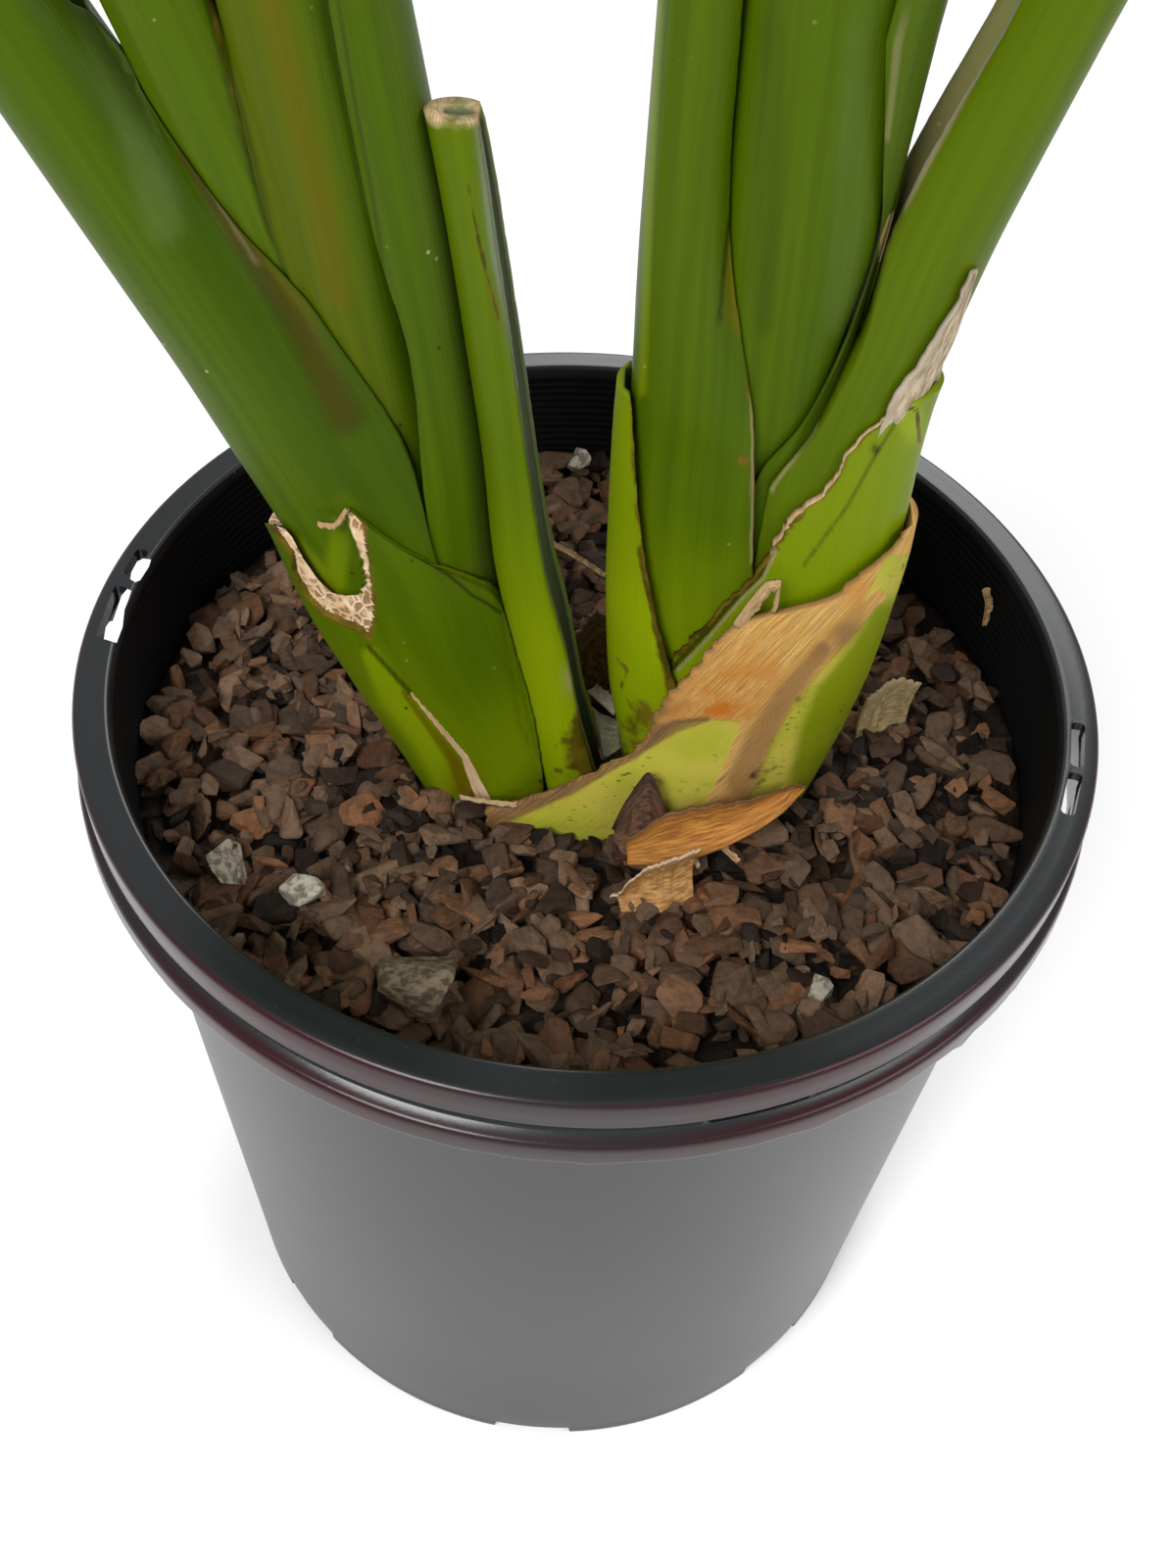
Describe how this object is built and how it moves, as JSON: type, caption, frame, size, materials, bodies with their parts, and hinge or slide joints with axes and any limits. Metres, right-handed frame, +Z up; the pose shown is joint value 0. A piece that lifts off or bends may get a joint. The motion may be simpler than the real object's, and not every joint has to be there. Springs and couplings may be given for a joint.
{
  "type": "potted bird of paradise plant",
  "caption": "Bird of paradise plant: two fans of clasping leaf stalks with broad leathery blades, in a round black nursery pot filled with bark mulch.",
  "frame": {"origin": "on the floor at the middle of the pot's base", "axes": "+Z up, +X along the plane of both leaf fans, to the right in the picture, +Y to the back"},
  "size_m": [0.9963, 0.3126, 1.2154],
  "materials": {
    "pot": "black moulded polypropylene, satin, faintly scuffed",
    "bark": "dark brown shredded bark mulch, matt",
    "root": "pale fleshy rhizome and roots, matt",
    "leaf": "bright to dark green, smooth and waxy, with a pale bloom in places",
    "dry_sheath": "tan dried fibrous leaf base, torn and papery at its edge",
    "dead": "dark brown dead leaf base, matt"
  },
  "bodies": {
    "root": {"pot": "pot", "potting_mix": "bark", "rhizome": "root", "leaf_l1": "leaf", "leaf_l2": "leaf", "leaf_l3": "leaf", "leaf_l4": "leaf", "leaf_r1": "leaf", "leaf_r2": "leaf", "leaf_r3": "leaf", "leaf_r4": "leaf", "old_sheath_left": "leaf", "old_sheath_right": "dry_sheath", "short_sheath": "leaf", "spear_sheath": "leaf", "cut_stalk": "leaf", "bud_scale": "dead", "dried_curl_large": "dry_sheath", "dried_curl_small": "dry_sheath", "tan_scrap": "dry_sheath", "dead_sheath": "dead"}
  },
  "joints": []
}
